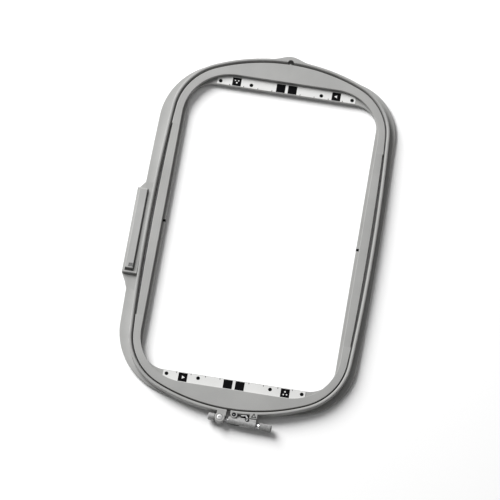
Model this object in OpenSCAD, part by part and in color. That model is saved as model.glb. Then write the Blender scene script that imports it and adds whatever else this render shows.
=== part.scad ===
// Embroidery hoop. A split outer ring with a screw clamp and a swing-out release arm
// holds an inner ring, which carries two printed marker strips. A raised connector on
// the left edge fits the machine's carriage.
// X runs across the hoop, Y along it with the clamp at -Y, and Z up. The origin is the
// centre of the sewing field on the surface that the hoop lies on.

/* [Opening] */
// Half width of the clear opening
opening_half_w = 153.6; // [152:0.2:155]
// Half length of the clear opening
opening_half_l = 246; // [244:0.5:247]
// Corner radius of the clear opening
opening_corner_r = 40; // [34:1:42]

/* [Inner ring] */
// Height of the inner ring
inner_h = 12.9; // [12:0.1:13.5]
// Height of the ledge inside the inner ring
ledge_h = 5.9; // [4.5:0.1:7]
// Half width of the window above the ledge
window_half_w = 159.5; // [158:0.5:160]
// Half length of the window above the ledge
window_half_l = 264.5; // [263:0.5:266]
// Corner radius of the window above the ledge
window_corner_r = 77; // [74:1:80]

/* [Outer ring] */
// Height of the outer ring
outer_h = 14.5; // [14.2:0.1:15.5]
// Wall thickness of the outer ring
rim_w = 5.6; // [5.2:0.1:5.8]
// Thickness of the flange round the foot of the outer ring
flange_h = 3.4; // [3:0.1:3.6]
// Width of the split in the outer ring
split_w = 6.3; // [5:0.1:7]

/* [Marker strips] */
// Half length of each marker strip
strip_half_w = 113; // [108:0.5:113]
// Thickness of each marker strip
strip_t = 0.6; // [0.4:0.1:1]

/* [Carriage connector] */
// Height of the connector block's top
block_top = 9.5; // [9.2:0.1:10.5]
// Height of the raised plate's top
plate_top = 13.5; // [12.5:0.1:14.2]
// Radius of the two locating bores
locator_r = 2.2; // [1.8:0.1:2.3]

/* [Clamp] */
// Radius of the screw
screw_r = 2.5; // [2.3:0.05:2.5]
// Radius of the knob
knob_r = 5.8; // [5.2:0.1:6.4]
// Number of grooves round the knob
knob_grooves = 20; // [16:1:22]

/* [Hidden] */
$fn = 64;
eps = 0.01;
run_fit = 0.05;
press_fit = 0.02;
far = 400;

ring_grey = [0.72, 0.72, 0.71];
clamp_grey = [0.66, 0.66, 0.66];
dark_grey = [0.45, 0.45, 0.46];
steel = [0.78, 0.79, 0.8];
strip_white = [0.95, 0.95, 0.94];

// An oval is [half width, half length, side radius, corner radius, end radius].
rim_oval = [177.6, 297, 3199.6, 90.9, 289.6];
inner_oval = [176.8, 295.1, 2900.5, 89.8, 291];
left_flange_oval = [196.8, 300.5, 8000, 109, 363.6];
right_flange_oval = [189, 300.4, 8000, 92.5, 396];

// The inner ring's sides are relieved so that the fabric is gripped at the ends.
relief_half_l = 165;
relief_half_w = 173.3;
relief_side_r = 5445;

// Steps that break the sharp top edges
lip = 0.6;

// Alignment marks and key at the top
key_half_w = 4;
key_reach = 1.6;
key_pocket_r = 5;
key_pocket_floor = 6;
bump_half_w = 30;
bump_reach = 6.5;
side_mark_w = 4.4;
side_mark_h = 2.5;

// Connector
block_x = [-207, -183];
block_y = [-96.8, 50.2];
block_end_slope = 2.4;
pad_end_y = 62;
plate_x = [-203, -190];
plate_y = [-90.2, 47.6];
plate_end_slope = 2.9;
groove_x = [-190, -187.4];
groove_floor = 6;
land_top = 8.4;
end_pocket_y = -94;
index_x = [-197.9, -190.9];
index_y = [-88.2, -82];
index_depth = 1;
index_gap = 0.1;
locator_y = [-70, 22];
locator_depth = 14;
locator_z = 6.3;
fixing_at = [for (y = [-84, -46, -4, 38]) [-197, y]];
fixing_r = 1.5;
fixing_head_r = 2.9;

// Clamp, with the nut's centre as the start of the screw's axis
nut_at = [-12.5, -311.6];
screw_z = 7.3;
screw_turn = -3.3;
nut_r = 5;
nut_z = [0.4, 14.2];
lug_r = 8;
swing = 9;
neck_r = 3.9;
sleeve_r = 6;
sleeve_from = -18.6;
shoulder_at = -8.6;
neck_to = -3.4;
arm_from = 13.4;
arm_to = 57.6;
arm_r = 6.5;
arm_clear = 0.7;
arm_play = 4.9;
arm_open_to = 32;
washer_at = 57.9;
washer_t = 1.2;
collar_at = 59.4;
collar_r = 3.7;
knob_at = 62.6;
cap_at = 80.6;
cap_to = 82.6;
cap_r = 3.4;

// Release arm's pivot, catch and the bracket on the rim
pivot_at = [8.9, -304.2];
pivot_r = 1.6;
pivot_sink_r = 3.3;
pivot_sink = 2.8;
right_lug_x = [2.8, 13.8];
right_lug_r = 5.4;
tongue_z = [4.5, 10.1];
tongue_r = 4.6;
arm_rib_x = [14.6, 27];
arm_rib_y = [-311, -307];
arm_rib_top = 12.4;
end_block_x = [33.6, 44.9];
end_block_y = [-313, -306.9];
end_block_z = [1.2, 13.2];
bracket_x = [33.5, 45.5];
bracket_y = -306.3;
web_y = -305;
web_h = 2.4;
catch_at = [30.9, -309.4];
catch_pin_r = 1.2;
catch_z = [11, 12.8];
catch_hub_r = 2.6;
catch_sink_r = 3.3;
catch_floor = 10;
spring_z = [10.1, 10.9];
arrow_at = [39.9, -302.3];
arrow_r = 4.3;
arrow_inset = 1.3;
arrow_depth = 2.2;

// Outlines

function arc_pts(c, r, a0, a1, n) =
    [for (i = [0:n]) let (a = a0 + (a1 - a0) * i / n) c + r * [cos(a), sin(a)]];

// Centre of the corner arc that is tangent to the side arc and to the end arc
function corner_centre(o) =
    let (side = [o[0] - o[2], 0], tip = [0, o[1] - o[4]])
    let (d = norm(tip - side), u = (tip - side) / d)
    let (r1 = o[2] - o[3], r3 = o[4] - o[3])
    let (t = (r1 * r1 - r3 * r3 + d * d) / (2 * d))
    side + t * u + sqrt(r1 * r1 - t * t) * [-u.y, u.x];

function head(pts) = [for (i = [0:len(pts) - 2]) pts[i]];

function quarter(o) =
    let (side = [o[0] - o[2], 0], tip = [0, o[1] - o[4]], c = corner_centre(o))
    let (a1 = atan2(c.y - side.y, c.x - side.x), a3 = atan2(c.y - tip.y, c.x - tip.x))
    concat(
        head(arc_pts(side, o[2], 0, a1, 6)),
        head(arc_pts(c, o[3], a1, a3, 14)),
        arc_pts(tip, o[4], a3, 90, 8));

function oval_pts(o) =
    let (q = quarter(o), n = len(q) - 1)
    concat(
        q,
        [for (i = [n - 1:-1:0]) [-q[i].x, q[i].y]],
        [for (i = [1:n]) -q[i]],
        [for (i = [n - 1:-1:1]) [q[i].x, -q[i].y]]);

function grow(o, d) = [for (v = o) v + d];

module oval(o) {
    polygon(oval_pts(o));
}

module round_rect(hw, hl, r) {
    polygon(concat(
        arc_pts([hw - r, hl - r], r, 0, 90, 12),
        arc_pts([r - hw, hl - r], r, 90, 180, 12),
        arc_pts([r - hw, r - hl], r, 180, 270, 12),
        arc_pts([hw - r, r - hl], r, 270, 360, 12)));
}

module rect(x, y) {
    translate([x[0], y[0]]) square([x[1] - x[0], y[1] - y[0]]);
}

module slab(z0, z1) {
    translate([0, 0, z0]) linear_extrude(z1 - z0) children();
}

module pillar(at, r, z) {
    translate([at.x, at.y, z[0]]) cylinder(r = r, h = z[1] - z[0]);
}

// Extrudes a profile drawn in (y, z) along X
module along_x(x) {
    translate([x[0], 0, 0]) rotate([90, 0, 90]) linear_extrude(x[1] - x[0]) children();
}

// Places children with +Z along the clamp screw's axis, starting at the nut's centre
module on_screw(at = 0) {
    translate([nut_at.x, nut_at.y, screw_z]) rotate([0, 0, screw_turn]) rotate([0, 90, 0])
        translate([0, 0, at]) children();
}

module rod(r, from, to) {
    on_screw(from) cylinder(r = r, h = to - from);
}

// A flat slot from a point on the screw's axis, widening between two angles
module fan_slot(at, reach, half, lo, hi) {
    translate([nut_at.x, nut_at.y, screw_z - half]) rotate([0, 0, screw_turn])
        translate([at, 0, 0]) linear_extrude(2 * half)
            polygon([[0, -half], [reach, reach * tan(lo) - half],
                [reach, reach * tan(hi) + half], [0, half]]);
}

// Outer ring

module bump_outline(inset) {
    base = rim_oval[1] + rim_w - 2.2;
    polygon(concat(
        [for (i = [15:-1:-15]) let (x = (bump_half_w - inset) * i / 15)
            [x, base + 2 + (bump_reach - inset) * (0.5 + 0.5 * cos(12 * i))
                - pow(x / bump_half_w, 2) * 1.6]],
        [[inset - bump_half_w, base - 4], [bump_half_w - inset, base - 4]]));
}

module rim_outline(inset) {
    oval(grow(rim_oval, rim_w - inset));
    bump_outline(inset);
    translate(nut_at) circle(lug_r - inset);
    rect([nut_at.x - 5.6 + inset, right_lug_x[0] - split_w], [nut_at.y + 4, -298]);
    translate(pivot_at) circle(right_lug_r - inset);
    rect([right_lug_x[0], right_lug_x[1] - inset], [pivot_at.y, -298]);
    rect([bracket_x[0] + inset, bracket_x[1] - inset], [bracket_y + inset, -296]);
}

module flange_outline() {
    intersection() {
        oval(left_flange_oval);
        rect([-far, 0], [-far, far]);
    }
    intersection() {
        oval(right_flange_oval);
        rect([-eps, far], [-far, far]);
    }
    polygon([[-180, 62], [-196.2, 62], [block_x[0], 47.5], [block_x[0], -97],
        [-200, -110], [-195.6, -122], [-180, -122]]);
}

module tongue_room() {
    slab(tongue_z[0] - 0.2, tongue_z[1] + 0.2) {
        translate(pivot_at) circle(tongue_r + 0.4);
        rect([0, 16], [-330, pivot_at.y]);
        rect([pivot_at.x, 16], [pivot_at.y - 1, pivot_at.y + 1.5]);
    }
}

module arrow(r) {
    translate(arrow_at) rotate(90) circle(r, $fn = 3);
}

module outer_frame() {
    color(ring_grey) difference() {
        union() {
            slab(0, flange_h) flange_outline();
            slab(0, outer_h - lip) rim_outline(0);
            slab(outer_h - lip, outer_h) rim_outline(lip);
            // Web that ties the right lug to the bracket
            slab(0, web_h) rect([pivot_at.x + 2, bracket_x[0] + 1], [web_y, -298]);
        }
        slab(-1, outer_h + 1) oval(rim_oval);
        for (i = [1:3])
            slab(outer_h - (4 - i) * lip, outer_h + 1) oval(grow(rim_oval, i * lip));
        slab(-1, outer_h + 1)
            rect([right_lug_x[0] - split_w, right_lug_x[0]], [-far, -280]);
        slab(key_pocket_floor, outer_h + 1) translate([0, rim_oval[1] + 0.8])
            circle(key_pocket_r);
        pillar(nut_at, nut_r + run_fit, [-1, outer_h + 1]);
        fan_slot(0, 12, screw_r + 0.4, -swing, 1);
        fan_slot(0, -12, neck_r + 0.3, 1, -swing);
        pillar(pivot_at, pivot_r + run_fit, [-1, outer_h + 1]);
        pillar(pivot_at, pivot_sink_r, [outer_h - pivot_sink, outer_h + 1]);
        tongue_room();
        slab(outer_h - arrow_depth, outer_h + 1) arrow(arrow_r);
        for (p = fixing_at) {
            pillar(p, fixing_r + run_fit, [-1, flange_h + 1]);
            pillar(p, fixing_head_r + 0.1, [-1, 2]);
        }
    }
}

// Inner ring

module inner_outline(inset) {
    side = relief_half_w - inset;
    difference() {
        oval(grow(inner_oval, -inset));
        for (s = [-1, 1]) polygon(concat(
            [for (i = [-4:4]) let (y = relief_half_l * i / 4)
                [s * (side - y * y / (2 * relief_side_r)), y]],
            [[s * far / 2, relief_half_l], [s * far / 2, -relief_half_l]]));
    }
}

module inner_frame() {
    color(ring_grey) {
        difference() {
            union() {
                slab(0, inner_h - lip) inner_outline(0);
                slab(inner_h - lip, inner_h) inner_outline(lip);
                slab(ledge_h, inner_h) polygon([[-key_half_w, 293], [key_half_w, 293],
                    [0, inner_oval[1] + key_reach]]);
            }
            slab(-1, inner_h + 1) round_rect(opening_half_w, opening_half_l,
                opening_corner_r);
            slab(ledge_h, inner_h + 1) round_rect(window_half_w - 2 * lip,
                window_half_l - 2 * lip, window_corner_r - 2 * lip);
            slab(inner_h - 2 * lip, inner_h + 1) round_rect(window_half_w - lip,
                window_half_l - lip, window_corner_r - lip);
            slab(inner_h - lip, inner_h + 1) round_rect(window_half_w, window_half_l,
                window_corner_r);
            for (s = [-1, 1]) slab(ledge_h - side_mark_h, ledge_h + 1)
                translate([s * (opening_half_w + 2), 0])
                    square([5, side_mark_w], center = true);
        }
    }
}

// Marker strip at the +Y end, clipped to the window's rounded corners
module strip() {
    color(strip_white) slab(ledge_h, ledge_h + strip_t) intersection() {
        round_rect(window_half_w - 2 * lip - 0.4, window_half_l - 2 * lip - 0.4,
            window_corner_r - 2 * lip - 0.4);
        difference() {
            rect([-strip_half_w, strip_half_w], [opening_half_l + 0.8, window_half_l]);
            for (x = [-107.5, -57.2, 57.2, 107.5])
                translate([x, opening_half_l + 6.1]) circle(0.8);
        }
    }
}

module marker_strip_top() {
    strip();
}

module marker_strip_bottom() {
    rotate([0, 0, 180]) strip();
}

// Connector

module connector_block() {
    color(ring_grey) difference() {
        along_x(block_x) polygon([[block_y[0], flange_h], [block_y[1], flange_h],
            [block_y[1] - block_end_slope, block_top], [block_y[0], block_top]]);
        slab(-1, far) oval(grow(rim_oval, rim_w + 0.05));
        slab(flange_h - 1, far) polygon([[-far, far], [-191.5, far], [-191.5, 68],
            [block_x[0] - 0.2, 47.3], [-far, 47.3]]);
        slab(groove_floor, far) rect(groove_x, [end_pocket_y, far]);
        slab(land_top, far) rect([groove_x[1] - eps, block_x[1] + 1], [end_pocket_y, far]);
        slab(groove_floor, far) rect(plate_x, [end_pocket_y, plate_y[0]]);
        for (y = locator_y) translate([block_x[0] - 1, y, locator_z]) rotate([0, 90, 0])
            cylinder(r = locator_r, h = locator_depth + 1);
        for (p = fixing_at) pillar(p, fixing_r + run_fit, [0, block_top - 1]);
    }
}

module connector_plate() {
    color(ring_grey) difference() {
        along_x(plate_x) polygon([[plate_y[0], block_top], [plate_y[1], block_top],
            [plate_y[1] - plate_end_slope, plate_top], [plate_y[0], plate_top]]);
        slab(plate_top - index_depth, far) rect(index_x, index_y);
    }
}

module connector_screws() {
    color(steel) for (p = fixing_at) {
        difference() {
            pillar(p, fixing_head_r, [0.3, 2]);
            slab(0, 1.2) translate(p) square([4, 0.8], center = true);
        }
        pillar(p, fixing_r, [2 - eps, block_top - 1.2]);
    }
}

module index_pad() {
    g = index_gap;
    color(dark_grey) slab(plate_top - index_depth, plate_top - 0.3) difference() {
        rect([index_x[0] + g, index_x[1] - g], [index_y[0] + g, index_y[1] - g]);
        for (x = [index_x[0] + 1.8, index_x[1] - 2.6])
            translate([x, index_y[1] - 1.4]) circle(0.8, $fn = 24);
    }
}

// Clamp

module swivel_nut() {
    color(steel) difference() {
        pillar(nut_at, nut_r, nut_z);
        rod(screw_r + run_fit, -10, 10);
        rod(neck_r, -10, neck_to);
        slab(nut_z[1] - 0.8, far) translate(nut_at) rotate(screw_turn)
            square([6, 1.2], center = true);
    }
}

module nut_sleeve() {
    color(clamp_grey) difference() {
        union() {
            rod(neck_r, shoulder_at - 1, neck_to);
            rod(sleeve_r, sleeve_from + 1, shoulder_at);
            rod(sleeve_r - 0.6, sleeve_from, sleeve_from + 1 + eps);
        }
        rod(screw_r + 0.3, sleeve_from + 2, 0);
    }
}

module clamp_screw() {
    color(steel) difference() {
        rod(screw_r, -15, cap_at);
        for (i = [0:6]) on_screw(-13.4 + 1.6 * i) difference() {
            cylinder(r = screw_r + 1, h = 0.5);
            cylinder(r = screw_r - 0.25, h = 0.5);
        }
    }
}

module thrust_washer() {
    color(steel) difference() {
        rod(4.7, washer_at, washer_at + washer_t);
        rod(screw_r + run_fit, washer_at - 1, washer_at + washer_t + 1);
    }
}

module knob_collar() {
    color(steel) difference() {
        union() {
            rod(collar_r, collar_at, knob_at);
            rod(collar_r + 0.5, collar_at, collar_at + 0.8);
        }
        rod(screw_r + press_fit, collar_at - 1, knob_at + 1);
    }
}

module clamp_knob() {
    color(clamp_grey) difference() {
        union() {
            rod(knob_r - 0.6, knob_at, cap_to - 0.1);
            rod(knob_r, knob_at + 0.8, cap_to - 0.9);
        }
        rod(screw_r + press_fit, knob_at - 1, far);
        rod(cap_r, cap_at, far);
        for (i = [1:knob_grooves]) on_screw(knob_at - 1)
            rotate([0, 0, 360 * i / knob_grooves]) translate([knob_r + 0.15, 0, 0])
                cylinder(r = 0.5, h = 30, $fn = 16);
    }
}

module knob_cap() {
    color(dark_grey) rod(cap_r, cap_at, cap_to - 0.6);
}

// Release arm

module arm_pivot_pin() {
    color(steel) pillar(pivot_at, pivot_r, [0.4, outer_h - 1.2]);
}

module arm_body() {
    difference() {
        rod(arm_r, arm_from, arm_to);
        pillar(pivot_at, right_lug_r + 0.4, [-1, tongue_z[0]]);
        pillar(pivot_at, right_lug_r + 0.4, [tongue_z[1], far]);
    }
    slab(tongue_z[0], tongue_z[1]) {
        translate(pivot_at) circle(tongue_r);
        polygon([[pivot_at.x - 3, pivot_at.y - 3.4], [pivot_at.x, pivot_at.y + 1],
            [18, pivot_at.y - 0.2], [22, -308], [22, -312], [pivot_at.x, -312]]);
    }
    slab(screw_z, arm_rib_top) rect(arm_rib_x, arm_rib_y);
    slab(end_block_z[0], end_block_z[1] - 0.5) rect(end_block_x, end_block_y);
    slab(end_block_z[1] - eps - 0.5, end_block_z[1])
        rect([end_block_x[0] + 0.5, end_block_x[1] - 0.5], [end_block_y[0], end_block_y[1] - 0.5]);
    pillar(catch_at, catch_sink_r + 0.7, [3.2, end_block_z[1] - 0.6]);
}

// The screw's way through the arm: it widens from the thrust end, then opens sideways
module arm_passage() {
    half = screw_r + arm_clear;
    drift = (arm_to - arm_open_to) * tan(arm_play);
    translate([nut_at.x, nut_at.y, screw_z - half]) rotate([0, 0, screw_turn])
        linear_extrude(2 * half)
            polygon([[arm_from - 1, half], [arm_to + 1, half], [arm_to + 1, -half],
                [arm_to, -half], [arm_open_to, -half - drift], [arm_open_to, -20],
                [arm_from - 1, -20]]);
}

module release_arm() {
    color(clamp_grey) difference() {
        arm_body();
        arm_passage();
        pillar(pivot_at, pivot_r + run_fit, [0, 20]);
        pillar(catch_at, catch_pin_r + press_fit, [4.2, 20]);
        slab(catch_floor, far) {
            translate(catch_at) circle(catch_sink_r);
            polygon([catch_at + [2.4, 0], catch_at + [1.6, 12], catch_at + [-14, 12],
                catch_at + [-14, 2.6], catch_at + [-4.2, 2.6], catch_at + [-4.2, 0]]);
        }
        for (i = [0:4]) translate([end_block_x[0] + 1.2 + 2.2 * i, -324, -1])
            cube([0.9, 4.4, 20]);
    }
}

module catch_pin() {
    color(steel) pillar(catch_at, catch_pin_r, [4.4, catch_z[1] + 0.5]);
}

module release_catch() {
    color(steel) slab(catch_z[0], catch_z[1]) difference() {
        union() {
            translate(catch_at) circle(catch_hub_r);
            polygon([catch_at + [1.6, 1.6], catch_at + [-1.2, 6.2], catch_at + [-3.2, 7.4],
                catch_at + [-6, 7.2], catch_at + [-10.6, 6.6], catch_at + [-12.2, 5.8],
                catch_at + [-10.6, 4.8], catch_at + [-6, 5], catch_at + [-3.9, 4.8],
                catch_at + [-2.4, 0.8]]);
        }
        translate(catch_at) circle(catch_pin_r + run_fit);
    }
}

module catch_spring() {
    color(steel) {
        slab(spring_z[0], spring_z[1]) difference() {
            translate(catch_at) circle(2.2);
            translate(catch_at) circle(catch_pin_r + 0.3);
        }
        slab(spring_z[0] + 0.1, spring_z[1] - 0.1)
            rect([catch_at.x - 2.1, catch_at.x - 1.6], [catch_at.y, catch_at.y + 5]);
    }
}

module lock_marker() {
    color(clamp_grey) slab(outer_h - arrow_depth, outer_h - 0.4) arrow(arrow_r - arrow_inset);
}

outer_frame();
inner_frame();
marker_strip_top();
marker_strip_bottom();
connector_block();
connector_plate();
connector_screws();
index_pad();
swivel_nut();
nut_sleeve();
clamp_screw();
thrust_washer();
knob_collar();
clamp_knob();
knob_cap();
release_arm();
arm_pivot_pin();
release_catch();
catch_pin();
catch_spring();
lock_marker();
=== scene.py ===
"""Looks of an embroidery hoop: two rings, a screw clamp with a release arm, a carriage
connector and two printed marker strips. Lengths are in millimetres, in the CAD frame,
and every mesh is scaled to metres when it is made."""

import math

import bmesh
import bpy
from mathutils import Matrix, Vector


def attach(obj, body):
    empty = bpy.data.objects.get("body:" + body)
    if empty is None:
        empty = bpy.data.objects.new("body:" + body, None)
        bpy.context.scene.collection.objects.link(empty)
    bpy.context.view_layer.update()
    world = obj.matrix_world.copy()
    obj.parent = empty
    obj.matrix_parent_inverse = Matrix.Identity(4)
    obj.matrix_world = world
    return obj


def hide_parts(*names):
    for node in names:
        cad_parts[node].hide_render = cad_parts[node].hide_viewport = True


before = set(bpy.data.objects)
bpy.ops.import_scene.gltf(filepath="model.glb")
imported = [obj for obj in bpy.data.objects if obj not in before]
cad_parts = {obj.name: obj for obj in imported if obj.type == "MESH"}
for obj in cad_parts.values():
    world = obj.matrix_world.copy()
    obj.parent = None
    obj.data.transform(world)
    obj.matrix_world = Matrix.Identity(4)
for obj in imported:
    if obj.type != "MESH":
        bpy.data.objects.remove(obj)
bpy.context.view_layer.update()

MM = 0.001

# Ovals: (half width, half length, side radius, corner radius, end radius)
RIM = (177.6, 297, 3199.6, 90.9, 289.6)
FLANGE_LEFT = (196.8, 300.5, 8000, 109, 363.6)
FLANGE_RIGHT = (189, 300.4, 8000, 92.5, 396)
INNER = (176.8, 295.1, 2900.5, 89.8, 291)
# Round-cornered rectangles: (half width, half length, corner radius)
WINDOW = (159.5, 264.5, 77)
OPENING = (153.6, 246, 40)
# Heights of the top faces
RIM_TOP, FLANGE_TOP, INNER_TOP, LEDGE, STRIP_TOP = 14.5, 3.4, 12.9, 5.9, 6.5
RIM_W = 5.6
SPLIT = (-3.5, 2.8)
# The inner ring's sides are cut back to a flatter arc up to here, with a short step after it.
RELIEF_END, RELIEF_HALF_W, RELIEF_SIDE_R, RELIEF_STEP = 165, 173.3, 5445, 0.02
SIDE_MARK_X = 155.8
STRIP_HALF_W = 113
# The feet of joined parts are this much over the rim's, so no two lie in one plane.
FOOT = 0.05

# Clamp
NUT = Vector((-12.5, -311.6, 7.3))
SCREW_TURN = math.radians(-3.3)
ALONG = Vector((math.cos(SCREW_TURN), math.sin(SCREW_TURN), 0))
NUT_R, NUT_TOP = 5, 14.2
SCREW_R = 2.5
PIVOT = Vector((8.9, -304.2, 0))
PIVOT_PIN_R = 1.6
ARM_EYE, EYE_SLOT = (4.5, 10.1), (4.3, 10.3)
CATCH = Vector((30.9, -309.4, 0))
CATCH_PIN_R = 1.2
ARROW = Vector((39.9, -302.3, 0))
# A hole is this much wider than the pin that turns in it, or that is fixed in it.
RUN_FIT, SNUG_FIT = 0.05, 0.02
# Cutters reach from below the underside to over the top.
BELOW, ABOVE = -1, 20


# Outlines

def arc(cx, cy, r, a0, a1, n):
    """n + 1 points on an arc, angles in radians"""
    steps = [a0 + (a1 - a0) * i / n for i in range(n + 1)]
    return [(cx + r * math.cos(a), cy + r * math.sin(a)) for a in steps]


SIDE_STEPS, CORNER_STEPS, END_STEPS, RELIEF_STEPS = 12, 24, 16, 6


def grow(oval, d):
    return tuple(v + d for v in oval)


def oval_quarter(oval):
    """From (half width, 0) to (0, half length): a side arc, a corner arc and an end arc"""
    a, b, side_r, corner_r, end_r = oval
    side, tip = Vector((a - side_r, 0)), Vector((0, b - end_r))
    d = (tip - side).length
    u = (tip - side) / d
    r1, r3 = side_r - corner_r, end_r - corner_r
    t = (r1 * r1 - r3 * r3 + d * d) / (2 * d)
    c = side + u * t + Vector((-u.y, u.x)) * math.sqrt(r1 * r1 - t * t)
    a1 = math.atan2(c.y - side.y, c.x - side.x)
    a3 = math.atan2(c.y - tip.y, c.x - tip.x)
    return (arc(side.x, side.y, side_r, 0, a1, SIDE_STEPS)[:-1]
            + arc(c.x, c.y, corner_r, a1, a3, CORNER_STEPS)[:-1]
            + arc(tip.x, tip.y, end_r, a3, math.pi / 2, END_STEPS))


def side_heights(top):
    """Where a side's points are: over the relief, then on to the side's end"""
    rest = SIDE_STEPS - RELIEF_STEPS - 1
    return ([RELIEF_END * i / RELIEF_STEPS for i in range(RELIEF_STEPS + 1)]
            + [RELIEF_END + RELIEF_STEP + (top - RELIEF_END) * i / rest for i in range(rest)])


def rect_quarter(half_w, half_l, r):
    """The same for a rectangle with round corners, point for point"""
    up = [(half_w, y) for y in side_heights(half_l - r)]
    corner = arc(half_w - r, half_l - r, r, 0, math.pi / 2, CORNER_STEPS)[:-1]
    across = [((half_w - r) * (1 - i / END_STEPS), half_l) for i in range(END_STEPS + 1)]
    return up + corner + across


def loop_from(top_right, top_left=None):
    """A whole loop from a quarter, anticlockwise from the middle of the -Y end"""
    left = top_left or top_right
    right_up = [(x, -y) for x, y in top_right[::-1]] + top_right[1:]
    left_down = [(-x, y) for x, y in left[::-1]][1:] + [(-x, -y) for x, y in left[1:]]
    return right_up + left_down


def open_at_split(loop, centre_y, radius):
    """Starts and ends an oval's loop at the split's two faces, on its end arc"""
    def on_arc(x):
        return (x, centre_y - math.sqrt(radius * radius - x * x))
    return [on_arc(SPLIT[1])] + loop[1:-1] + [on_arc(SPLIT[0])]


def split_oval(oval):
    return open_at_split(loop_from(oval_quarter(oval)), oval[4] - oval[1], oval[4])


# Meshes

def new_object(name, verts, faces):
    """Makes a clean mesh object from millimetres"""
    mesh = bpy.data.meshes.new(name)
    mesh.from_pydata([tuple(c * MM for c in v) for v in verts], [], faces)
    obj = bpy.data.objects.new(name, mesh)
    bpy.context.scene.collection.objects.link(obj)
    bm = bmesh.new()
    bm.from_mesh(mesh)
    bmesh.ops.remove_doubles(bm, verts=bm.verts, dist=1e-7)
    bmesh.ops.recalc_face_normals(bm, faces=bm.faces)
    bm.to_mesh(mesh)
    bm.free()
    return obj


def loft(loops, ring=True, capped=False):
    """Skins a list of loops with the same number of points. ring joins the last loop to
    the first, as round a ring's section; capped closes the cut ends of open loops."""
    n, m = len(loops[0]), len(loops)
    verts = [v for loop in loops for v in loop]
    faces = []
    for i in range(m if ring else m - 1):
        for j in range(n - 1 if capped else n):
            a, b = i * n, ((i + 1) % m) * n
            k = (j + 1) % n
            faces.append((a + j, b + j, b + k, a + k))
    if capped:
        faces.append([i * n for i in range(m)])
        faces.append([i * n + n - 1 for i in range(m)])
    return verts, faces


def tube(loops):
    """Skins loops like a tube and closes both ends"""
    verts, faces = loft(loops, ring=False)
    n, m = len(loops[0]), len(loops)
    return verts, faces + [list(range(n)), list(range((m - 1) * n, m * n))]


def flat(points, z):
    return [(x, y, z) for x, y in points]


def prism(points, z0, z1):
    return tube([flat(points, z0), flat(points, z1)])


def circle(cx, cy, r, n=48):
    return arc(cx, cy, r, 0, 2 * math.pi * (n - 1) / n, n - 1)


def rect(x0, x1, y0, y1):
    return [(x0, y0), (x1, y0), (x1, y1), (x0, y1)]


def pillar(at, r, z0, z1, n=48):
    return prism(circle(at[0], at[1], r, n), z0, z1)


def turned(profile, n=48, wave=None):
    """Turns (distance along, radius) pairs about the clamp screw's axis. wave gives the
    radius at a point from its distance along, its radius in the profile and its angle."""
    side, up = Vector((-ALONG.y, ALONG.x, 0)), Vector((0, 0, 1))
    loops = []
    for s, r in profile:
        loop = []
        for k in range(n):
            a = 2 * math.pi * k / n
            q = wave(s, r, a) if wave else r
            loop.append(tuple(NUT + ALONG * s + side * q * math.cos(a) + up * q * math.sin(a)))
        loops.append(loop)
    return tube(loops)


def inset(points, d):
    """Moves an outline's edges in by d, for an outline that runs anticlockwise"""
    n, moved = len(points), []
    for i in range(n):
        p, q, r = (Vector(points[j % n]) for j in (i - 1, i, i + 1))
        e, f = (q - p).normalized(), (r - q).normalized()
        en, fn = Vector((-e.y, e.x)), Vector((-f.y, f.x))
        moved.append(tuple(q + (en + fn) * (d / max(1 + en.dot(fn), 0.3))))
    return moved


def is_anticlockwise(points):
    return sum(x0 * y1 - x1 * y0 for (x0, y0), (x1, y1)
               in zip(points, points[1:] + points[:1])) > 0


def rounded_prism(points, z0, z1, r, steps=3):
    """A prism with its top edge rounded and its foot slightly broken"""
    outline = points if is_anticlockwise(points) else points[::-1]
    foot = min(r * 0.4, 0.3)
    loops = [flat(inset(outline, foot), z0), flat(outline, z0 + foot)]
    for i in range(steps + 1):
        a = math.pi / 2 * i / steps
        loops.append(flat(inset(outline, r * (1 - math.cos(a))), z1 - r + r * math.sin(a)))
    return tube(loops)


def boolean(obj, others, operation):
    """Joins or cuts an object with each (verts, faces) pair in turn"""
    for verts, faces in others:
        tool = new_object("tool", verts, faces)
        mod = obj.modifiers.new("b", "BOOLEAN")
        mod.operation, mod.solver, mod.object = operation, "EXACT", tool
        bake_modifiers(obj)
        bpy.data.objects.remove(tool)


SHARP = math.radians(32)


def bake_modifiers(obj):
    dg = bpy.context.evaluated_depsgraph_get()
    mesh = bpy.data.meshes.new_from_object(obj.evaluated_get(dg))
    obj.modifiers.clear()
    obj.data = mesh


def soften(obj, width):
    """Rounds every sharp edge"""
    if width:
        bm = bmesh.new()
        bm.from_mesh(obj.data)
        bmesh.ops.remove_doubles(bm, verts=bm.verts, dist=1e-6)
        bmesh.ops.dissolve_limit(bm, angle_limit=math.radians(1), verts=bm.verts,
                                 edges=bm.edges)
        bm.to_mesh(obj.data)
        bm.free()
        mod = obj.modifiers.new("b", "BEVEL")
        mod.width, mod.segments = width * MM, 2
        mod.limit_method, mod.angle_limit = "ANGLE", SHARP
        bake_modifiers(obj)
    shade(obj)


def shade(obj):
    """Shades an object smooth but for its sharp edges"""
    bm = bmesh.new()
    bm.from_mesh(obj.data)
    for f in bm.faces:
        f.smooth = True
    for e in bm.edges:
        e.smooth = len(e.link_faces) == 2 and e.calc_face_angle(math.pi) < SHARP
    bm.to_mesh(obj.data)
    bm.free()
    # Keeps the wide flat faces flat beside their rounded edges
    mod = obj.modifiers.new("n", "WEIGHTED_NORMAL")
    mod.keep_sharp = True
    bake_modifiers(obj)


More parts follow.
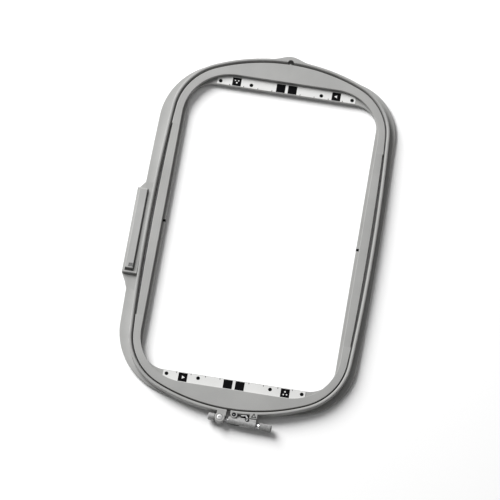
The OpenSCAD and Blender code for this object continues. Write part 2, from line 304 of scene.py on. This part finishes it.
def piece(name, body, material, parts, cuts=(), bevel=0.0, stands_for=()):
    """A visible piece: the union of parts less the cuts, with its edges rounded"""
    obj = new_object(name, *parts[0])
    boolean(obj, parts[1:], "UNION")
    boolean(obj, cuts, "DIFFERENCE")
    soften(obj, bevel)
    obj.data.materials.clear()
    obj.data.materials.append(material)
    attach(obj, body)
    if stands_for:
        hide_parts(*stands_for)
    return obj


# Materials

def noise(nt, at, scale, detail, rough=0.5):
    n = nt.nodes.new("ShaderNodeTexNoise")
    n.inputs["Scale"].default_value = scale
    n.inputs["Detail"].default_value = detail
    n.inputs["Roughness"].default_value = rough
    nt.links.new(at, n.inputs["Vector"])
    return n.outputs["Fac"]


def ramp(nt, fac, low, high, c0, c1):
    """From colour c0 at low to c1 at high"""
    r = nt.nodes.new("ShaderNodeValToRGB")
    for element, position, colour in zip(r.color_ramp.elements, (low, high), (c0, c1)):
        element.position = position
        element.color = (*colour, 1)
    nt.links.new(fac, r.inputs["Fac"])
    return r.outputs["Color"]


def mix(nt, kind, a, b):
    m = nt.nodes.new("ShaderNodeMix")
    m.data_type, m.blend_type = "RGBA", kind
    m.inputs[0].default_value = 1.0
    nt.links.new(a, m.inputs[6])
    nt.links.new(b, m.inputs[7])
    return m.outputs[2]


def uneven_gloss(nt, bsdf, fac, low, high):
    gloss = nt.nodes.new("ShaderNodeMapRange")
    gloss.inputs["To Min"].default_value = low
    gloss.inputs["To Max"].default_value = high
    nt.links.new(fac, gloss.inputs["Value"])
    nt.links.new(gloss.outputs["Result"], bsdf.inputs["Roughness"])


def relief(nt, bsdf, fac, strength, depth):
    bump = nt.nodes.new("ShaderNodeBump")
    bump.inputs["Strength"].default_value = strength
    bump.inputs["Distance"].default_value = depth
    nt.links.new(fac, bump.inputs["Height"])
    nt.links.new(bump.outputs["Normal"], bsdf.inputs["Normal"])


def new_material(name):
    """A material, its node tree, its shader and the object's coordinates"""
    mat = bpy.data.materials.new(name)
    mat.use_nodes = True
    nt = mat.node_tree
    coord = nt.nodes.new("ShaderNodeTexCoord")
    return mat, nt, nt.nodes["Principled BSDF"], coord.outputs["Object"]


def plastic(name, light, dark, roughness, grain_bump, wear=0.05, specular=0.4, drift=14):
    """Moulded plastic: slow tone drift, fine grain, paler worn edges, uneven gloss"""
    mat, nt, bsdf, at = new_material(name)
    bsdf.inputs["Specular IOR Level"].default_value = specular
    tone = ramp(nt, noise(nt, at, drift, 3, 0.6), 0.35, 0.65, dark, light)
    speck = ramp(nt, noise(nt, at, 2600, 2, 0.6), 0.3, 0.7, [0.88] * 3, [1] * 3)
    edge = nt.nodes.new("ShaderNodeNewGeometry")
    worn = ramp(nt, edge.outputs["Pointiness"], 0.5, 0.56, [0] * 3, [wear] * 3)
    base = mix(nt, "ADD", mix(nt, "MULTIPLY", tone, speck), worn)
    nt.links.new(base, bsdf.inputs["Base Color"])
    uneven_gloss(nt, bsdf, noise(nt, at, 160, 5, 0.6), roughness - 0.06, roughness + 0.08)
    relief(nt, bsdf, noise(nt, at, 3200, 3, 0.7), grain_bump, 0.00005)
    return mat


def metal(name, tone, roughness, across):
    """Turned or plated metal: fine lines across one axis, smudges in the gloss"""
    mat, nt, bsdf, at = new_material(name)
    bsdf.inputs["Metallic"].default_value = 1.0
    stretch = nt.nodes.new("ShaderNodeMapping")
    stretch.inputs["Scale"].default_value = across
    nt.links.new(at, stretch.inputs["Vector"])
    lines = noise(nt, stretch.outputs["Vector"], 500, 4)
    colour = ramp(nt, lines, 0.3, 0.7, [c * 0.82 for c in tone], tone)
    nt.links.new(colour, bsdf.inputs["Base Color"])
    uneven_gloss(nt, bsdf, noise(nt, at, 300, 3), roughness * 0.7, roughness * 1.4)
    relief(nt, bsdf, lines, 0.25, 0.00003)
    return mat


ring_mat = plastic("ring_plastic", (0.345, 0.345, 0.337), (0.31, 0.31, 0.303), 0.5, 0.35)
clamp_mat = plastic("clamp_plastic", (0.36, 0.36, 0.355), (0.22, 0.22, 0.217), 0.45, 0.6,
                    wear=0.08, drift=420)
pad_mat = plastic("pad_plastic", (0.2, 0.2, 0.2), (0.16, 0.16, 0.16), 0.55, 0.5)
dark_mat = plastic("dark_plastic", (0.06, 0.06, 0.063), (0.045, 0.045, 0.047), 0.5, 0.4)
# Painted shade: a black for deep pockets, wells and recesses that are dark with shade
painted_shade_mat = plastic("painted_shade_black", (0.014, 0.014, 0.015), (0.01, 0.01, 0.011), 0.6, 0.4,
                    wear=0.0, specular=0.2)
film_mat = plastic("strip_film", (0.72, 0.72, 0.71), (0.68, 0.68, 0.67), 0.4, 0.08, wear=0.0)
# Black ink for the strips' print, also used as painted shade on the floors of the side notches
ink_and_notch_shade_mat = plastic("mark_ink_and_notch_shade", (0.004, 0.004, 0.0045), (0.002, 0.002, 0.0025), 0.7, 0.1,
                  wear=0.0, specular=0.04)
pale_ink_mat = plastic("mark_pale", (0.85, 0.85, 0.84), (0.78, 0.78, 0.77), 0.4, 0.1, wear=0.0)
steel_mat = metal("steel", (0.58, 0.58, 0.59), 0.32, (1, 0.15, 1))
plated_mat = metal("plated_steel", (0.86, 0.86, 0.87), 0.2, (0.3, 1, 1))
nut_mat = metal("nickel_plate", (0.62, 0.62, 0.62), 0.42, (1, 1, 1))
blued_mat = metal("blackened_steel", (0.2, 0.2, 0.21), 0.34, (1, 0.3, 1))


# Outer ring

def rim_section():
    """(offset, height) round the rim's wall: a deep half oval inside the top, a small round
    outside, and small ones at the foot"""
    lip_w, lip_depth, outer_round, foot = 2.8, 5.6, 1.3, 0.35
    section = [(foot, 0.0), (0.0, foot)]
    section += [(x, RIM_TOP - lip_depth + lip_depth / lip_w * h)
                for x, h in arc(lip_w, 0, lip_w, math.pi, math.pi / 2, 9)]
    section += arc(RIM_W - outer_round, RIM_TOP - outer_round, outer_round, math.pi / 2, 0, 5)
    return section + [(RIM_W, foot), (RIM_W - foot, 0.0)]


def flange_loop(d):
    """The flange's outline, wider on the connector's side"""
    loop = loop_from(oval_quarter(grow(FLANGE_RIGHT, d)), oval_quarter(grow(FLANGE_LEFT, d)))
    return open_at_split(loop, FLANGE_RIGHT[4] - FLANGE_RIGHT[1], FLANGE_RIGHT[4] + d)


def flange_loops():
    """The flange's section, from its root in the rim's wall out and back"""
    edge = 0.9
    root = split_oval(grow(RIM, 1.4))
    loops = [flat(root, FOOT), flat(flange_loop(-0.3), FOOT), flat(flange_loop(0), FOOT + 0.3)]
    for d, z in arc(-edge, FLANGE_TOP - edge, edge, 0, math.pi / 2, 5):
        loops.append(flat(flange_loop(d), z))
    return loops + [flat(flange_loop(-2 * edge), FLANGE_TOP), flat(root, FLANGE_TOP)]


def bump():
    """The swelling round the alignment pocket, level with the rim"""
    half, reach, base, steps = 30, 6.3, RIM[1] + RIM_W, 30
    top = []
    for i in range(steps, -steps - 1, -1):
        x = half * i / steps
        swell = reach * (0.5 + 0.5 * math.cos(math.pi * i / steps))
        top.append((x, base + swell - (x / half) ** 2 * 1.6))
    return top + [(-half, base - 4.2), (half, base - 4.2)]


def from_nut(points):
    """Places points that are given along the screw and across it, from the nut's centre"""
    c, s = math.cos(SCREW_TURN), math.sin(SCREW_TURN)
    return [(NUT.x + c * x - s * y, NUT.y + s * x + c * y) for x, y in points]


def fan(reach, half, lo, hi):
    """The slot in the nut's lug that the screw swings in"""
    corners = [(0, -half), (reach, reach * math.tan(lo) - half),
               (reach, reach * math.tan(hi) + half), (0, half)]
    return prism(from_nut(corners), NUT.z - half, NUT.z + half)


def triangle(r):
    """The lock marker's outline"""
    angles = [math.pi / 2 + 2 * math.pi * k / 3 for k in range(3)]
    return [(ARROW.x + r * math.cos(a), ARROW.y + r * math.sin(a)) for a in angles]


SWING_LO, SWING_HI = math.radians(-9), math.radians(1)
LUG_ROOT = -298.4
FIXINGS = [(-197, y) for y in (-84, -46, -4, 38)]
# The flange's pad under the connector
PAD = [(-180, 62), (-196.2, 62), (-207, 47.5), (-207, -97), (-200, -110), (-195.6, -122),
       (-180, -122)]

lugs = [
    # The nut's lug, the pivot's lug and the lock marker's bracket
    rounded_prism(circle(NUT.x, NUT.y, 8), FOOT, RIM_TOP, 0.8),
    rounded_prism(rect(NUT.x - 5.6, SPLIT[0], NUT.y + 3, LUG_ROOT), FOOT, RIM_TOP, 0.6),
    rounded_prism(circle(PIVOT.x, PIVOT.y, 5.4), FOOT, RIM_TOP, 0.7),
    rounded_prism(rect(SPLIT[1], 13.8, PIVOT.y, LUG_ROOT), FOOT, RIM_TOP, 0.6),
    rounded_prism(rect(33.5, 45.5, -306.3, -296.6), FOOT, RIM_TOP, 0.7),
]
lug_cuts = [
    # The nut's bore, and the screw's and the sleeve's room to swing
    pillar(NUT, NUT_R + RUN_FIT, BELOW, ABOVE),
    fan(12, 2.9, SWING_LO, SWING_HI),
    fan(-12, 4.2, SWING_HI, SWING_LO),
    # The pivot pin's bore and well
    pillar(PIVOT, PIVOT_PIN_R + RUN_FIT, BELOW, ABOVE),
    tube([flat(circle(PIVOT.x, PIVOT.y, r), RIM_TOP + z) for r, z in
          ((3.0, -2.8), (3.3, -2.5), (3.3, -0.3), (3.9, 0.3))]),
    # The slot for the arm's eye
    pillar(PIVOT, 5.0, *EYE_SLOT),
    prism(rect(0, 16, -330, PIVOT.y), *EYE_SLOT),
    prism(rect(PIVOT.x, 16, PIVOT.y - 1, PIVOT.y + 1.5), *EYE_SLOT),
    # The lock marker's well
    tube([flat(triangle(r), RIM_TOP + z) for r, z in ((4.9, -2.2), (4.9, -0.3), (5.4, 0.3))]),
]
rim_loops = [flat(split_oval(grow(RIM, d)), z) for d, z in rim_section()]
piece("outer_rim", "outer", ring_mat,
      [loft(rim_loops, capped=True), rounded_prism(bump(), FOOT, RIM_TOP, 0.9)] + lugs,
      [pillar((0, RIM[1] + 0.8), 5, 6, ABOVE)] + lug_cuts, stands_for=["outer_frame"])
piece("outer_flange", "outer", ring_mat,
      [loft(flange_loops(), capped=True), rounded_prism(PAD, 0.0, FLANGE_TOP, 0.9)],
      [pillar(p, 1.55, BELOW, 8, 24) for p in FIXINGS]
      + [pillar(p, 3.0, BELOW, 2, 32) for p in FIXINGS])
# The pocket behind the arm and the wells of the pivot pin and the marker are painted black:
# painted shade for their deep shadow.
piece("pocket_floor", "outer", painted_shade_mat,
      [rounded_prism(rect(PIVOT.x + 2, 34.5, -305, -298), FOOT, 2.4, 0.4)])
piece("pivot_well", "outer", painted_shade_mat,
      [pillar(PIVOT, 3.25, RIM_TOP - 2.85, RIM_TOP - 2.6)],
      [pillar(PIVOT, PIVOT_PIN_R + 0.1, 0, ABOVE)])
piece("marker_well", "outer", painted_shade_mat,
      [prism(triangle(4.85), RIM_TOP - 2.25, RIM_TOP - 1.9)])

# Inner ring

def inner_quarter(d):
    """The inner ring's outline, d inside its widest, with the relief of its sides cut in"""
    quarter = oval_quarter(grow(INNER, -d))
    side_r, side = INNER[2] - d, []
    for y in side_heights(quarter[SIDE_STEPS][1]):
        if y > RELIEF_END:
            side.append((INNER[0] - INNER[2] + math.sqrt(side_r * side_r - y * y), y))
        else:
            side.append((RELIEF_HALF_W - d - y * y / (2 * RELIEF_SIDE_R), y))
    return side + quarter[SIDE_STEPS:]


def rect_loop(size, d, z):
    """A rectangle's loop, d bigger all round"""
    half_w, half_l, r = (v + d for v in size)
    return flat(loop_from(rect_quarter(half_w, half_l, r))[:-1], z)


def inner_loops():
    """Up the outside, over the top, down the window's wall, along the ledge, down the opening"""
    foot, edge, window_edge, drop = 0.4, 0.9, 0.7, 1.3
    loops = []
    for d, z in [(foot, 0), (0, foot)]:
        loops.append(flat(loop_from(inner_quarter(d))[:-1], z))
    for d, z in arc(-edge, INNER_TOP - edge, edge, 0, math.pi / 2, 4):
        loops.append(flat(loop_from(inner_quarter(-d))[:-1], z))
    for a in [math.pi / 2 * i / 4 for i in range(5)]:
        loops.append(rect_loop(WINDOW, -window_edge * math.sin(a),
                               INNER_TOP - drop * (1 - math.cos(a))))
    loops.append(rect_loop(WINDOW, -window_edge, LEDGE))
    for d, z in ((0.1, LEDGE), (0, LEDGE - 0.25), (0, foot), (foot, 0)):
        loops.append(rect_loop(OPENING, d, z))
    return loops


key = rounded_prism([(-4, 292.5), (4, 292.5), (0, INNER[1] + 1.6)], LEDGE, INNER_TOP, 0.5)
side_notches = [prism(rect(x - 2.45, x + 2.45, -2.2, 2.2), LEDGE - 2.5, 9)
                for x in (-SIDE_MARK_X, SIDE_MARK_X)]
piece("inner_ring", "inner", ring_mat, [loft(inner_loops()), key],
      side_notches, stands_for=["inner_frame"])
# The floors of the side notches are painted black: painted shade for their dark depth.
for x, name in ((-SIDE_MARK_X, "side_notch_shade_left"), (SIDE_MARK_X, "side_notch_shade_right")):
    piece(name, "inner", ink_and_notch_shade_mat,
          [rounded_prism(rect(x - 2.35, x + 2.35, -2.1, 2.1), LEDGE - 2.4, LEDGE - 1.6, 0.15)])

# Marker strips and their printed marks

def strip_outline():
    """From the ledge's edge to just inside the window's wall, at the +Y end"""
    wall_r, cx, cy = WINDOW[2] - 1.1, WINDOW[0] - WINDOW[2], WINDOW[1] - WINDOW[2]
    end = math.acos((STRIP_HALF_W - cx) / wall_r)
    right = arc(cx, cy, wall_r, end, math.pi / 2, 8)
    left = [(-x, y) for x, y in right[::-1]]
    foot = OPENING[1] + 0.8
    return [(STRIP_HALF_W, foot)] + right + left + [(-STRIP_HALF_W, foot)]


def turned_half(points, turn):
    """The same at the -Y end, half a turn round, if asked for"""
    return [(-x, -y) for x, y in points] if turn else points


def square(x, y, side):
    h = side / 2
    return rect(x - h, x + h, y - h, y + h)


def pointer(x, y, size):
    """A triangle that points to -X"""
    return [(x - size, y), (x + size * 0.7, y + size * 0.9), (x + size * 0.7, y - size * 0.9)]


MARK_Y, INK = OPENING[1] + 8.4, 0.04
TOP_PALE = [circle(-84, MARK_Y + 2.2, 1.0, 20), circle(-78.8, MARK_Y + 2.2, 1.1, 20),
            circle(-81.3, MARK_Y - 1.6, 1.3, 20), pointer(80.6, MARK_Y, 2.7)]
BOTTOM_PALE = [pointer(80.6, MARK_Y, 2.7), circle(-84.2, MARK_Y + 2.2, 1.1, 20),
               circle(-79, MARK_Y + 2.6, 1.1, 20), circle(-81, MARK_Y - 2.2, 1.3, 20)]


def ink_shapes():
    shapes = [square(-9.3, MARK_Y, 14.4), square(9.6, MARK_Y, 14.4)]
    shapes += [square(s * 81.3, MARK_Y, 14.2) for s in (-1, 1)]
    for s in (-1, 1):
        shapes += [circle(s * x, MARK_Y - 2.3, 3.0, 32) for x in (57.2, 107.5)]
        shapes += [rect(s * x - 0.5, s * x + 0.5, MARK_Y - 7.6, MARK_Y - 5.4)
                   for x in (23, 46, 69, 92)]
    return shapes


def printed(name, shapes, z, material, turn):
    """Flat marks in one piece, as thick as a layer of ink"""
    verts, faces = [], []
    for shape in shapes:
        v, f = prism(turned_half(shape, turn), z, z + INK)
        faces += [[i + len(verts) for i in face] for face in f]
        verts += v
    piece(name, "inner", material, [(verts, faces)])


for node, turn, pale in (("marker_strip_top", False, TOP_PALE),
                         ("marker_strip_bottom", True, BOTTOM_PALE)):
    piece(node + "_film", "inner", film_mat,
          [rounded_prism(turned_half(strip_outline(), turn), LEDGE, STRIP_TOP, 0.15)],
          stands_for=[node])
    printed(node + "_marks", ink_shapes(), STRIP_TOP, ink_and_notch_shade_mat, turn)
    printed(node + "_glyphs", pale, STRIP_TOP + INK, pale_ink_mat, turn)

# Connector

def along_x(x0, x1, points):
    """A prism along X with its outline given in (y, z)"""
    return tube([[(x, y, z) for y, z in points] for x in (x0, x1)])


BLOCK_FOOT, BLOCK_TOP, LAND_TOP, GROOVE_FLOOR = 3.0, 9.5, 9.2, 6
PLATE_TOP, PLATE_LEFT, PLATE_RIGHT, PLATE_LOW_END = 13.5, -203, -190.4, -90.2
INDEX_PAD_FOOT, INDEX_PAD_TOP = 12.5, 13.2
block_cuts = [
    # The far end's slope and its cut corner
    along_x(-210, -170, [(47.8, 9.6), (50.9, 2), (60, 2), (60, 30), (47.8, 30)]),
    prism([(-230, 47.3), (-207.2, 47.3), (-191.5, 68), (-191.5, 90), (-230, 90)], 2, ABOVE),
    # The groove beside the plate, the land beyond it and the groove at the plate's low end
    prism(rect(PLATE_RIGHT, -188.4, -94, 80), GROOVE_FLOOR, ABOVE),
    prism(rect(-188.5, -180, -94, 80), LAND_TOP, ABOVE),
    prism(rect(PLATE_LEFT, PLATE_RIGHT - 0.05, -94, PLATE_LOW_END), GROOVE_FLOOR, ABOVE),
]
# The bores for the carriage's locating pins
block_cuts += [along_x(-208, -193, circle(y, 6.3, 2.2, 32)) for y in (-70, 22)]
piece("connector_body", "outer", ring_mat,
      [rounded_prism(rect(-207, -183, -96.8, 51), BLOCK_FOOT, BLOCK_TOP, 0.7)], block_cuts,
      bevel=0.25, stands_for=["connector_block"])
piece("connector_top", "outer", ring_mat,
      [rounded_prism(rect(PLATE_LEFT, PLATE_RIGHT, PLATE_LOW_END, 48), BLOCK_TOP - 0.5,
                     PLATE_TOP, 0.8)],
      [along_x(-210, -180, [(44.9, 14), (44.9, PLATE_TOP), (47.6, 9.6), (47.6, 8), (60, 8),
                            (60, 14)]),
       prism(rect(-197.9, -190.9, -88.2, -82), INDEX_PAD_FOOT, ABOVE)],
      bevel=0.25, stands_for=["connector_plate"])
pad_dimples = [pillar((x, -83.4), 0.8, 12.6, ABOVE, 24) for x in (-196.1, -193.5)]
pad_ribs = [prism(rect(-197.5, -191.3, y, y + 0.5), 13.0, ABOVE) for y in (-87.4, -86.2, -85.0)]
piece("index_pad_moulded", "outer", pad_mat,
      [rounded_prism(rect(-197.8, -191, -88.1, -82.1), INDEX_PAD_FOOT, INDEX_PAD_TOP, 0.2)],
      pad_dimples + pad_ribs, stands_for=["index_pad"])

# Clamp

def rod_profile(s0, s1, r, edge):
    """A rod's profile along the screw, with both ends rounded"""
    return [(s0, r - edge), (s0 + edge * 0.3, r - edge * 0.3), (s0 + edge, r),
            (s1 - edge, r), (s1 - edge * 0.3, r - edge * 0.3), (s1, r - edge)]


RUN_R, SNUG_R = SCREW_R + RUN_FIT, SCREW_R + SNUG_FIT
nut = tube([flat(circle(NUT.x, NUT.y, r, 64), z) for r, z in
            ((4.5, 0.4), (NUT_R, 0.9), (NUT_R, NUT_TOP - 0.9), (4.7, NUT_TOP - 0.35),
             (4.1, NUT_TOP - 0.1), (2.5, NUT_TOP))])
piece("swivel_nut_turned", "swivel", nut_mat, [nut],
      [turned([(-10, RUN_R), (10, RUN_R)]), turned([(-10, 3.9), (-3.4, 3.9)]),
       prism(from_nut(rect(-3, 3, -0.6, 0.6)), NUT_TOP - 0.8, ABOVE)], stands_for=["swivel_nut"])
piece("nut_sleeve_moulded", "swivel", clamp_mat,
      [turned([(-18.6, 4.6), (-18.3, 5.3), (-17.6, 5.9), (-17.2, 6), (-9.2, 6), (-8.8, 5.8),
               (-8.6, 5.4), (-8.6, 3.9), (-3.4, 3.9)])],
      [turned([(-16.6, 2.8), (0, 2.8)]), turned([(-19, 1.6), (-18, 1.6)])],
      stands_for=["nut_sleeve"])


def thread(s, r, a):
    """A V thread from the screw's tip to a little past the nut's lug"""
    start, end, pitch, depth = -14.6, 26, 1.5, 0.26
    if s > end or s < start:
        return r
    phase = (s / pitch - a / (2 * math.pi)) % 1
    return r - depth * abs(2 * phase - 1)


thread_steps = [(-15, 2.0)] + [(-14.7 + 0.15 * i, SCREW_R) for i in range(274)]
piece("clamp_screw_threaded", "screw", steel_mat,
      [turned(thread_steps + [(80.6, SCREW_R)], 40, thread)], stands_for=["clamp_screw"])
piece("thrust_washer_turned", "washer", steel_mat,
      [turned(rod_profile(57.9, 59.1, 4.7, 0.3), 64)], [turned([(57, RUN_R), (60, RUN_R)])],
      stands_for=["thrust_washer"])
piece("knob_collar_turned", "screw", plated_mat,
      [turned([(59.4, 3.9), (59.6, 4.1), (59.9, 4.1), (60.1, 3.7), (60.3, 3.3), (61.4, 3.7),
               (62.6, 4.15)], 64)],
      [turned([(58, SNUG_R), (63, SNUG_R)])], stands_for=["knob_collar"])

GROOVES, KNOB_R = 20, 5.8


def knurl(s, r, a):
    """Grooves along the knob, crossed by fainter ones, but none on its ends"""
    if r < KNOB_R - 0.6:
        return r
    ridge = 0.5 + 0.5 * math.cos(GROOVES * a)
    cross = 0.5 + 0.5 * math.cos(2 * math.pi * s / 1.6)
    return r - 0.42 * (1 - ridge) ** 2 - 0.1 * cross


knob_profile = [(62.6, 4.2), (62.7, 4.8), (63.0, 5.3), (63.4, 5.7)]
knob_profile += [(63.6 + 0.2 * i, KNOB_R) for i in range(88)]
knob_profile += [(81.6, 5.3), (81.7, 4.8), (81.7, 3.7), (81.6, 3.42)]
piece("clamp_knob_knurled", "screw", clamp_mat,
      [turned(knob_profile, GROOVES * 8, knurl)],
      [turned([(60, SNUG_R), (90, SNUG_R)]), turned([(80.6, 3.42), (90, 3.42)])],
      stands_for=["clamp_knob"])
piece("knob_cap_dished", "screw", dark_mat,
      [turned([(80.6, 3.38), (81.74, 3.38), (81.76, 4.8), (81.9, 4.9), (82.1, 4.8), (82.5, 4.3),
               (82.5, 3.4), (82.1, 2.2), (81.9, 0.6)])],
      stands_for=["knob_cap"])

# Release arm

# The screw's passage through the arm opens to the front for the swing.
PASSAGE_HALF, ARM_START, ARM_END, MOUTH_END = 3.2, 13.4, 57.6, 32
spread = (ARM_END - MOUTH_END) * math.tan(math.radians(4.9))
passage = [(ARM_START - 1, PASSAGE_HALF), (ARM_END + 1, PASSAGE_HALF),
           (ARM_END + 1, -PASSAGE_HALF), (ARM_END, -PASSAGE_HALF),
           (MOUTH_END, -PASSAGE_HALF - spread), (MOUTH_END, -20), (ARM_START - 1, -20)]
# The arm's tube is cut away over and under its eye, where the lug's two cheeks go.
tube_body = new_object("arm_tube", *turned(rod_profile(ARM_START, ARM_END, 6.5, 0.7), 64))
boolean(tube_body, [pillar(PIVOT, 5.8, BELOW, ARM_EYE[0]),
                    pillar(PIVOT, 5.8, ARM_EYE[1], ABOVE)], "DIFFERENCE")
arm_tube = ([tuple(v.co / MM) for v in tube_body.data.vertices],
            [list(f.vertices) for f in tube_body.data.polygons])
bpy.data.objects.remove(tube_body)
arm_parts = [
    arm_tube,
    pillar(PIVOT, 4.6, *ARM_EYE),
    prism([(5.9, -307.6), (8.9, -303.2), (18, -304.4), (22, -308), (22, -312), (8.9, -312)],
          *ARM_EYE),
    rounded_prism(rect(14.6, 27, -311, -307), 7.3, 12.4, 0.8),
    rounded_prism(rect(33.6, 44.9, -313, -306.9), 1.2, 13.2, 0.7),
    rounded_prism(circle(CATCH.x, CATCH.y, 4), 3.2, 12.7, 0.4),
]
# The catch's lever turns in a room that is open upward.
LEVER_FLOOR, LEVER_FOOT, LEVER_TOP = 10, 11, 12.8
lever_room = [(2.4, 0), (1.6, 12), (-14, 12), (-14, 2.6), (-4.2, 2.6), (-4.2, 0)]
arm_cuts = [
    prism(from_nut(passage), NUT.z - PASSAGE_HALF, NUT.z + PASSAGE_HALF),
    pillar(PIVOT, PIVOT_PIN_R + RUN_FIT, 0, ABOVE),
    pillar(CATCH, CATCH_PIN_R + SNUG_FIT, 4.2, ABOVE),
    pillar(CATCH, 3.3, LEVER_FLOOR, ABOVE),
    prism([(CATCH.x + x, CATCH.y + y) for x, y in lever_room], LEVER_FLOOR, ABOVE),
]
# Grooves in the arm's lower edge
arm_cuts += [prism(rect(x, x + 0.9, -324, -319.6), BELOW, ABOVE) for x in
             (34.8, 37.0, 39.2, 41.4, 43.6)]
piece("release_arm_moulded", "arm", clamp_mat, arm_parts, arm_cuts,
      bevel=0.18, stands_for=["release_arm"])


def headed_pin(at, r, z0, z1, n=40):
    """A pin with a domed top"""
    rings = [(r - 0.3, z0), (r, z0 + 0.3), (r, z1 - 0.5), (r - 0.15, z1 - 0.2),
             (r - 0.5, z1 - 0.03), (r * 0.3, z1)]
    return tube([flat(circle(at[0], at[1], q, n), z) for q, z in rings])


piece("arm_pivot_pin_turned", "outer", blued_mat,
      [headed_pin(PIVOT, PIVOT_PIN_R, 0.4, 13.3)], stands_for=["arm_pivot_pin"])
piece("catch_pin_turned", "arm", steel_mat,
      [headed_pin(CATCH, CATCH_PIN_R, 4.4, 13.3)], stands_for=["catch_pin"])

lever = [(1.4, 2.2), (0.4, 4.0), (-1.2, 6.2), (-2.1, 7.0), (-3.2, 7.4), (-4.6, 7.4), (-6, 7.3),
         (-10.0, 6.9), (-11.0, 6.5), (-11.3, 6.0), (-11.0, 5.3), (-10.0, 4.9), (-7, 4.9),
         (-6, 5.6), (-4.6, 5.7), (-3.4, 5.2), (-2.3, 3.2), (-1.9, 1.8)]
piece("release_catch_stamped", "catch", nut_mat,
      [rounded_prism([(CATCH.x + x, CATCH.y + y) for x, y in lever], LEVER_FOOT, LEVER_TOP,
                     0.35)],
      stands_for=["release_catch"])
# The boss round the catch's pin is painted black: painted shade for the dark recess round the
# hub.
piece("release_catch_boss", "catch", painted_shade_mat,
      [rounded_prism(circle(CATCH.x, CATCH.y, 2.9), LEVER_FOOT, LEVER_TOP + 0.15, 0.3)],
      [pillar(CATCH, CATCH_PIN_R + RUN_FIT, LEVER_FLOOR, ABOVE)])


def coil(radius, wire, turns, z0, z1, leg):
    """A wire coil about the catch's pin, with a straight leg"""
    path = [Vector((-radius, leg, z0))]
    steps = 28 * turns
    for i in range(steps + 1):
        a = math.pi + 2 * math.pi * turns * i / steps
        path.append(Vector((radius * math.cos(a), radius * math.sin(a),
                            z0 + (z1 - z0) * i / steps)))
    loops = []
    for i, p in enumerate(path):
        ahead = (path[min(i + 1, len(path) - 1)] - path[max(i - 1, 0)]).normalized()
        side = ahead.cross(Vector((0, 0, 1))).normalized()
        up = side.cross(ahead)
        loops.append([tuple(CATCH + p + side * wire * math.cos(a) + up * wire * math.sin(a))
                      for a in [2 * math.pi * k / 8 for k in range(8)]])
    return tube(loops)


piece("catch_spring_wound", "arm", steel_mat,
      [coil(1.9, 0.18, 2, 10.3, 10.75, 4.8)], stands_for=["catch_spring"])
piece("lock_marker_moulded", "outer", clamp_mat,
      [rounded_prism(triangle(2.6), RIM_TOP - 1.9, RIM_TOP - 0.4, 0.3)],
      stands_for=["lock_marker"])

# The fixing screws' solids are right as they are.
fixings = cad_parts["connector_screws"]
fixings.data.materials.clear()
fixings.data.materials.append(steel_mat)

# Studio: the hoop lies flat, seen from nearly above and turned a little

CAMERA_AZIMUTH = math.radians(-78.6248)
CAMERA_TILT = math.radians(20.1569)
CAMERA_ROLL = math.radians(10.16614)
CAMERA_DISTANCE = 5.670256
CAMERA_TARGET = Vector((-0.012375, -0.027751, 0.0065))
LENS, SENSOR = 256.965, 36

back = Vector((math.sin(CAMERA_TILT) * math.cos(CAMERA_AZIMUTH),
               math.sin(CAMERA_TILT) * math.sin(CAMERA_AZIMUTH), math.cos(CAMERA_TILT)))
level = Vector((0, 1, 0)).cross(back).normalized()
upright = back.cross(level)
cam_right = level * math.cos(CAMERA_ROLL) + upright * math.sin(CAMERA_ROLL)
cam_up = upright * math.cos(CAMERA_ROLL) - level * math.sin(CAMERA_ROLL)

cam = bpy.data.cameras.new("camera")
cam.sensor_width = SENSOR
cam.lens = LENS
cam.clip_start, cam.clip_end = 0.1, 50
camera = bpy.data.objects.new("camera", cam)
camera.matrix_world = Matrix.Translation(CAMERA_TARGET + back * CAMERA_DISTANCE) @ Matrix(
    (cam_right, cam_up, back)).transposed().to_4x4()
bpy.context.scene.collection.objects.link(camera)
bpy.context.scene.camera = camera


def lamp(name, toward, distance, size, power):
    """A round soft light, so far from the hoop in a direction"""
    away = Vector(toward).normalized()
    light = bpy.data.lights.new(name, "AREA")
    light.shape, light.size, light.energy = "DISK", size, power
    obj = bpy.data.objects.new(name, light)
    obj.location = CAMERA_TARGET + away * distance
    obj.rotation_mode = "QUATERNION"
    obj.rotation_quaternion = away.to_track_quat("Z", "Y")
    bpy.context.scene.collection.objects.link(obj)


lamp("key", (-0.62, 0.52, 0.585), 6.0, 4.2, 630)
lamp("overhead", (-0.07, 0.34, 0.94), 3.4, 2.4, 9)

world = bpy.data.worlds.new("studio")
world.use_nodes = True
world.node_tree.nodes["Background"].inputs["Color"].default_value = (1, 1, 1, 1)
world.node_tree.nodes["Background"].inputs["Strength"].default_value = 0.17
bpy.context.scene.world = world
bpy.context.scene.view_settings.view_transform = "Standard"
bpy.context.scene.view_settings.look = "None"

# The floor is a little under the hoop, since the shadow is wide.
FLOOR_Z, FLOOR_HALF = -2.5, 6000
floor_mat = bpy.data.materials.new("floor")
floor_mat.use_nodes = True
floor_bsdf = floor_mat.node_tree.nodes["Principled BSDF"]
floor_bsdf.inputs["Base Color"].default_value = (0.97, 0.97, 0.97, 1)
floor_bsdf.inputs["Roughness"].default_value = 0.9
floor_outline = rect(-FLOOR_HALF, FLOOR_HALF, -FLOOR_HALF, FLOOR_HALF)
floor = new_object("floor", flat(floor_outline, FLOOR_Z), [(0, 1, 2, 3)])
floor.data.materials.append(floor_mat)
